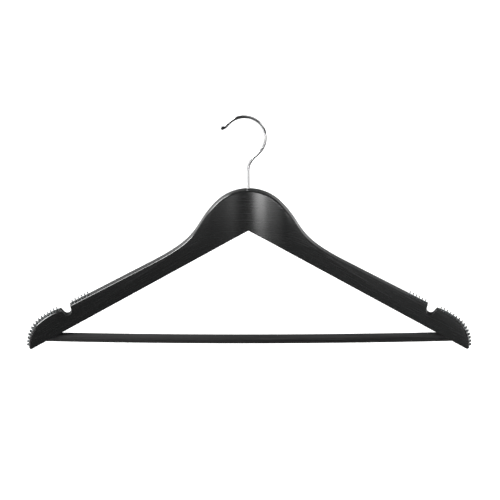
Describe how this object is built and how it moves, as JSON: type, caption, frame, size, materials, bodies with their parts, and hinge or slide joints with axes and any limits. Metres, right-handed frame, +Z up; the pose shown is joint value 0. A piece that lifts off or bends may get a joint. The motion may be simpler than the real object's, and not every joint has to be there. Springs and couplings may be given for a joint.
{
  "type": "clothes hanger",
  "caption": "Contoured wooden clothes hanger with a swivelling wire hook, shoulder notches, toothed clear grips and a fluted trouser bar.",
  "frame": {"origin": "the rail seat: the underside of the hook's crown, straight above the shank", "axes": "+X towards the right arm as seen from the front, +Z up along the hook's shank, the front of the hanger faces -Y"},
  "size_m": [0.4472, 0.0306, 0.2346],
  "materials": {
    "black_lacquer": "black satin lacquer over smooth wood",
    "black_stained_wood": "black stain under a thin lacquer, fluted along its length",
    "chrome_plate": "bright plated wire",
    "bright_steel": "zinc-plated steel",
    "blacked_steel": "steel under the same black lacquer as the wood",
    "clear_soft_plastic": "clear soft plastic with a slight haze"
  },
  "bodies": {
    "hook": {"hook": "chrome_plate", "hook_washer": "bright_steel"},
    "hanger": {"left_arm": "black_lacquer", "right_arm": "black_lacquer", "hook_sleeve": "blacked_steel", "trouser_bar": "black_stained_wood", "bar_brad_left": "bright_steel", "bar_brad_right": "bright_steel", "inner_grip_left": "clear_soft_plastic", "outer_grip_left": "clear_soft_plastic", "inner_grip_right": "clear_soft_plastic", "outer_grip_right": "clear_soft_plastic"}
  },
  "joints": [
    {"name": "hook_swivel", "type": "hinge", "parent": "hook", "child": "hanger", "pos_m": [0, 0, -0.0716], "axis": [0, 0, 1], "continuous": true}
  ]
}
